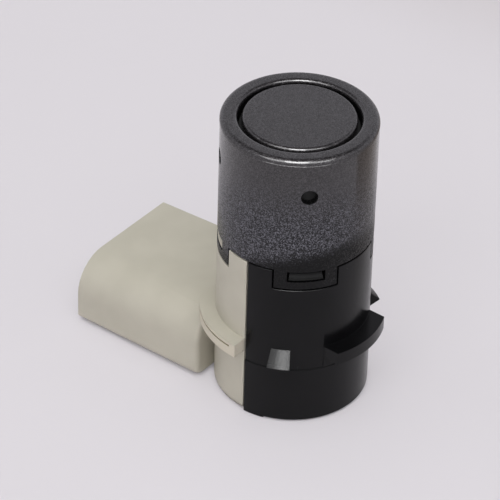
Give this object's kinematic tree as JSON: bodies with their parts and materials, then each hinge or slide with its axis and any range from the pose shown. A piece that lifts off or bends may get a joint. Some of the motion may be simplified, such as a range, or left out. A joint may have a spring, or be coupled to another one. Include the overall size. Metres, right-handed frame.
{
  "type": "parking sensor",
  "caption": "Round parking sensor: a painted sensing head with a ring-gapped membrane on a two-part plastic body, with stops, barbs and a side connector.",
  "frame": {"origin": "on the head's axis, at the rear face that the sensor stands on", "axes": "+Z along the sensor's axis from the rear face to the membrane, -X along the connector to its mouth, +Y to the connector's square-cornered side"},
  "size_m": [0.0499, 0.0296, 0.0503],
  "materials": {
    "head_paint": "dark grey metallic paint with fine sparkle, fading to plain black at the lower edge",
    "membrane_paint": "dark grey metallic paint over aluminium",
    "black_plastic": "smooth black moulded plastic, satin to gloss",
    "beige_plastic": "smooth beige moulded plastic, satin",
    "black_silicone": "soft black silicone",
    "piezo_ceramic": "fired ceramic, pale",
    "damping_foam": "grey felted foam",
    "circuit_board": "green solder resist",
    "chip_plastic": "moulded black resin",
    "tinned_metal": "tinned contact metal",
    "ferrite": "dark sintered ferrite",
    "enamelled_copper": "enamelled copper wire",
    "wire_sleeve": "thin plastic insulation",
    "aluminium_can": "drawn aluminium"
  },
  "bodies": {
    "root": {"head_sleeve": "head_paint", "membrane_cup": "membrane_paint", "decoupling_ring": "black_silicone", "lead_carrier": "black_plastic", "damping_pad": "damping_foam", "piezo_disc": "piezo_ceramic", "piezo_lead_signal": "wire_sleeve", "piezo_lead_return": "wire_sleeve", "connector_half": "beige_plastic", "cover_half": "black_plastic", "circuit_board": "circuit_board", "contact_pin_1": "tinned_metal", "contact_pin_2": "tinned_metal", "contact_pin_3": "tinned_metal", "transformer_bobbin": "black_plastic", "transformer_winding": "enamelled_copper", "transformer_core_front": "ferrite", "transformer_core_rear": "ferrite", "storage_capacitor": "aluminium_can", "resonator": "tinned_metal", "control_chip": "chip_plastic", "protection_diode": "chip_plastic", "ceramic_capacitor_1": "piezo_ceramic", "ceramic_capacitor_2": "piezo_ceramic", "ceramic_capacitor_3": "piezo_ceramic", "resistor_1": "chip_plastic", "resistor_2": "chip_plastic", "resistor_3": "chip_plastic"}
  },
  "joints": []
}
